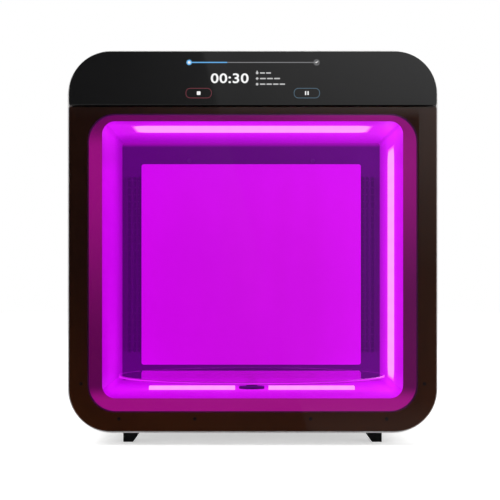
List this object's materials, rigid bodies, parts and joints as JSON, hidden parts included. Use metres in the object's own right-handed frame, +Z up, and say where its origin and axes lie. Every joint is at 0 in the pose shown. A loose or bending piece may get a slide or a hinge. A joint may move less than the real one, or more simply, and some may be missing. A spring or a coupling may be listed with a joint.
{
  "type": "dental lab light curing unit",
  "caption": "Bench cabinet that cures printed dental parts with light: tinted hinged door, bright chamber with light panels, glass turntable, warm air and a display fascia.",
  "frame": {"origin": "on the standing surface, under the middle of the cabinet's box", "axes": "+Z up, -Y towards the user at the door, +X to the user's right"},
  "size_m": [0.539, 0.56, 0.5725],
  "materials": {
    "shell_paint": "fine satin powder coat",
    "chassis_steel": "satin coated sheet",
    "foot_rubber": "matt",
    "screw_steel": "zinc plated",
    "dark_screws": "black oxide",
    "frame_plastic": "fine texture",
    "door_plastic": "fine texture",
    "bezel_plastic": "satin",
    "seal_rubber": "soft matt",
    "magnet_metal": "nickel plated",
    "hinge_steel": "black coated steel",
    "sensor_plastic": "plain",
    "door_tint": "polished, tinted",
    "fascia_black": "polished, opaque black behind",
    "display_black": "polished",
    "board_green": "solder mask",
    "board_white": "white solder mask",
    "emitter_lens": "clear dome",
    "light_opal": "opal",
    "liner_bright": "bright, semi-mirror",
    "rear_wall_sheet": "satin",
    "heatsink_metal": "extruded",
    "probe_steel": "turned",
    "table_glass": "clear, polished edge",
    "fan_plastic": "plain",
    "guard_wire": "bright wire",
    "inlet_plastic": "moulded",
    "contact_metal": "plated",
    "insulation_wool": "faced mineral wool"
  },
  "bodies": {
    "cabinet": {"base_plate": "chassis_steel", "catch_magnets": "magnet_metal", "chamber_probe": "probe_steel", "chamber_rear_wall": "rear_wall_sheet", "circulation_motor": "fan_plastic", "control_board": "board_green", "door_seal": "seal_rubber", "door_sensor": "sensor_plastic", "duct_heaters": "heatsink_metal", "exhaust_fan_frames": "fan_plastic", "fan_guards": "guard_wire", "fascia_glass": "fascia_black", "fascia_tray": "frame_plastic", "feet": "foot_rubber", "foot_screws": "screw_steel", "front_frame": "frame_plastic", "heatsink_floor": "heatsink_metal", "heatsink_right": "heatsink_metal", "heatsink_top": "heatsink_metal", "hinge_bracket_lower": "hinge_steel", "hinge_bracket_upper": "hinge_steel", "hinge_screws": "screw_steel", "inlet_contacts": "contact_metal", "insulation_pads": "insulation_wool", "led_boards": "board_white", "led_driver_board": "board_green", "led_emitters": "emitter_lens", "light_cover_floor": "light_opal", "light_cover_right": "light_opal", "light_cover_top": "light_opal", "liner_floor_pan": "liner_bright", "liner_supports": "chassis_steel", "liner_upper": "liner_bright", "mains_inlet": "inlet_plastic", "mouth_bezel": "bezel_plastic", "outer_shell": "shell_paint", "plenum_duct": "chassis_steel", "power_supply": "chassis_steel", "rear_panel": "chassis_steel", "rear_reflector": "liner_bright", "rear_screws": "screw_steel", "rear_wall_screws": "screw_steel", "reflector_standoffs": "screw_steel", "switch_bezel": "inlet_plastic", "touch_display": "display_black", "turntable_bearing": "sensor_plastic", "turntable_gearmotor": "probe_steel"},
    "door": {"door_glass": "door_tint", "door_frame": "door_plastic", "door_back": "door_plastic", "hinge_pins": "hinge_steel", "door_screws": "dark_screws", "strike_plates": "magnet_metal", "door_magnet": "magnet_metal"},
    "turntable": {"turntable_glass": "table_glass", "turntable_hub": "probe_steel"},
    "circulation_fan": {"circulation_impeller": "fan_plastic"},
    "exhaust_fan_left": {"exhaust_rotor_left": "fan_plastic"},
    "exhaust_fan_right": {"exhaust_rotor_right": "fan_plastic"},
    "power_rocker": {"rocker_switch": "inlet_plastic"}
  },
  "joints": [
    {"name": "door_hinge", "type": "hinge", "parent": "cabinet", "child": "door", "pos_m": [-0.2545, -0.266, 0.2695], "axis": [0, 0, -1], "range_deg": [0, 105]},
    {"name": "turntable_spin", "type": "hinge", "parent": "cabinet", "child": "turntable", "pos_m": [0, -0.015, 0.065], "axis": [0, 0, 1], "continuous": true},
    {"name": "circulation_fan_spin", "type": "hinge", "parent": "cabinet", "child": "circulation_fan", "pos_m": [0, 0.2255, 0.268], "axis": [0, 1, 0], "continuous": true},
    {"name": "exhaust_fan_left_spin", "type": "hinge", "parent": "cabinet", "child": "exhaust_fan_left", "pos_m": [-0.15, 0.2595, 0.5165], "axis": [0, 1, 0], "continuous": true},
    {"name": "exhaust_fan_right_spin", "type": "hinge", "parent": "cabinet", "child": "exhaust_fan_right", "pos_m": [0.15, 0.2595, 0.5165], "axis": [0, 1, 0], "continuous": true},
    {"name": "power_rocker_tilt", "type": "hinge", "parent": "cabinet", "child": "power_rocker", "pos_m": [0.128, 0.273, 0.0465], "axis": [-1, 0, 0], "range_deg": [0, 24]}
  ]
}
